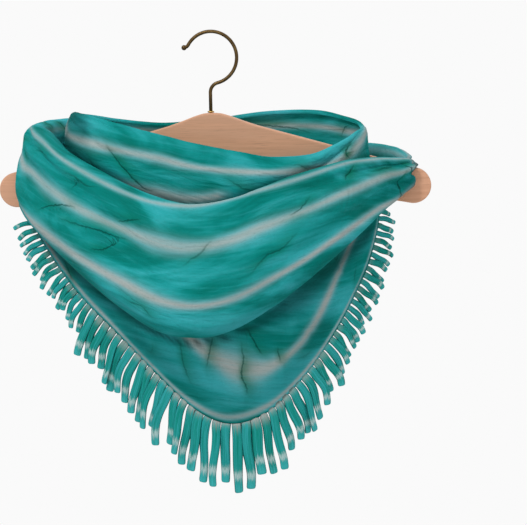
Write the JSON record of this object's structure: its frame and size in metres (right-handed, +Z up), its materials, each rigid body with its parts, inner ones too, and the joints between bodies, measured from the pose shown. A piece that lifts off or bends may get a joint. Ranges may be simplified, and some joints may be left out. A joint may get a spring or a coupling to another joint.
{
  "type": "fringed triangle scarf on wooden hanger",
  "caption": "Fringed triangle scarf wound twice into a filled-out cowl over a flat wooden hanger with a wire hook, the fringed point hanging in front.",
  "frame": {"origin": "inside top of the hanger's wire hook, where a rail carries it", "axes": "+X right for a viewer in front, +Y to the back, +Z up"},
  "size_m": [0.4448, 0.3296, 0.4482],
  "materials": {
    "cloth": "soft woven cloth, teal with pale grey dye stripes and dark green veins",
    "fringe": "loose cut yarn strands, teal with a pale band near the tip",
    "wood": "plain pale wood, fine grain, matt varnish",
    "hook_metal": "antique bronze wire, satin",
    "collar_metal": "small bright brass ring, satin"
  },
  "bodies": {
    "root": {"hanger_body": "wood", "hanger_hook": "hook_metal", "hook_collar": "collar_metal", "cowl_front": "cloth", "shoulder_wrap_back": "cloth", "point_drape_front": "cloth", "neck_wrap_back": "cloth", "fringe_left_upper": "fringe", "fringe_left_lower": "fringe", "fringe_right_lower": "fringe", "fringe_right_upper": "fringe"}
  },
  "joints": []
}
